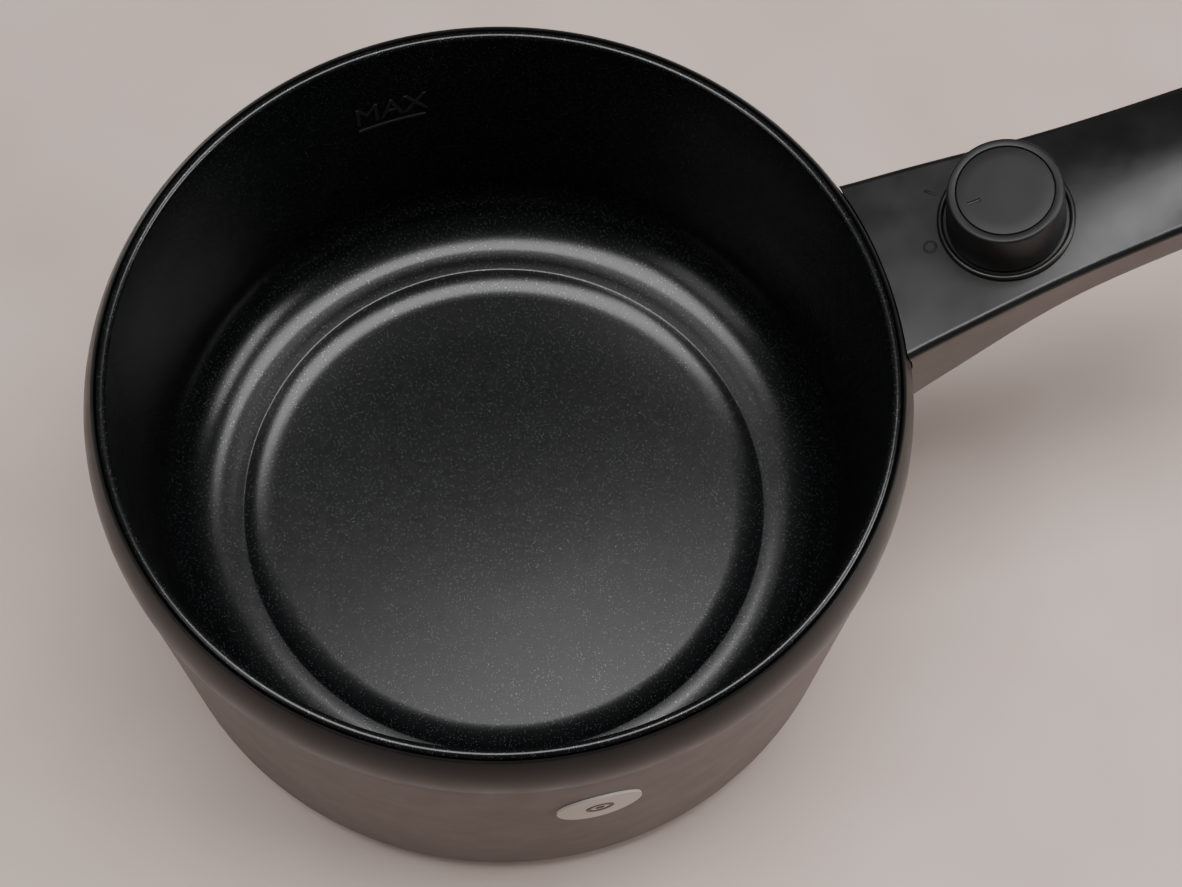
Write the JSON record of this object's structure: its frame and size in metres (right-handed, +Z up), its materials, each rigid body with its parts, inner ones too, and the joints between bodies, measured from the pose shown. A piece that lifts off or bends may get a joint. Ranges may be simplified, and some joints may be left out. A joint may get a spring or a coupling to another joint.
{
  "type": "electric saucepan",
  "caption": "Small electric saucepan with a non-stick pan, side handle, rotary power knob on the handle and a flush round badge.",
  "frame": {"origin": "on the pan's axis, at the plane the foot ring rests on", "axes": "+Z up along the pan axis, +X towards the handle, -Y is the side with the badge"},
  "size_m": [0.3428, 0.1978, 0.1457],
  "materials": {
    "nonstick_aluminium": "dark non-stick coat with fine flecks",
    "black_plastic": "satin black",
    "black_soft_plastic": "fine matt black",
    "knob_plastic": "matt charcoal",
    "taupe_plastic": "matt taupe",
    "badge_disc": "satin pale beige",
    "black_base_plastic": "moulded black",
    "seal_silicone": "soft grey",
    "foot_rubber": "matt rubber",
    "screw_steel": "zinc plated",
    "bracket_steel": "pressed sheet",
    "element_steel": "heat-tinted",
    "cast_aluminium": "cast",
    "ceramic": "glazed ceramic",
    "terminal_brass": "plated",
    "switch_plastic": "moulded",
    "lead_sleeve": "braided glass sleeve"
  },
  "bodies": {
    "root": {"badge": "badge_disc", "base_cover": "black_base_plastic", "base_screws": "screw_steel", "bridge_lead": "lead_sleeve", "detent_ball": "screw_steel", "detent_spring": "bracket_steel", "earth_lead": "lead_sleeve", "earth_screw": "screw_steel", "earth_tag": "terminal_brass", "element_beads": "ceramic", "element_leads": "lead_sleeve", "element_pins": "terminal_brass", "foot_ring": "foot_rubber", "fuse_clip": "bracket_steel", "fuse_sleeve": "lead_sleeve", "handle_base": "taupe_plastic", "handle_bolts": "screw_steel", "handle_bracket": "bracket_steel", "handle_cover": "black_soft_plastic", "handle_nuts": "screw_steel", "handle_screws": "screw_steel", "heat_plate": "cast_aluminium", "heat_shield": "bracket_steel", "heating_element": "element_steel", "inlet_housing": "black_base_plastic", "inlet_pins": "terminal_brass", "inlet_screws": "screw_steel", "inner_pan": "nonstick_aluminium", "knob_collar": "black_plastic", "live_lead": "lead_sleeve", "neutral_lead": "lead_sleeve", "outer_shell": "taupe_plastic", "pan_studs": "screw_steel", "power_diode": "switch_plastic", "rim_ring": "black_plastic", "rim_seal": "seal_silicone", "stud_nuts": "screw_steel", "stud_spacers": "bracket_steel", "switch_body": "switch_plastic", "switch_lid": "switch_plastic", "switch_nut": "screw_steel", "switch_terminals": "terminal_brass", "switched_lead": "lead_sleeve", "thermal_fuse": "terminal_brass", "thermostat_blades": "terminal_brass", "thermostat_body": "ceramic", "thermostat_bracket": "bracket_steel", "thermostat_cap": "cast_aluminium"},
    "knob_body": {"knob": "knob_plastic", "knob_disc": "knob_plastic", "knob_clip": "bracket_steel", "switch_shaft": "switch_plastic", "switch_rotor": "switch_plastic"}
  },
  "joints": [
    {"name": "knob_turn", "type": "hinge", "parent": "root", "child": "knob_body", "pos_m": [0.12619, 0, 0.11698], "axis": [0.2436, 0, -0.9699], "range_deg": [0, 90]}
  ]
}
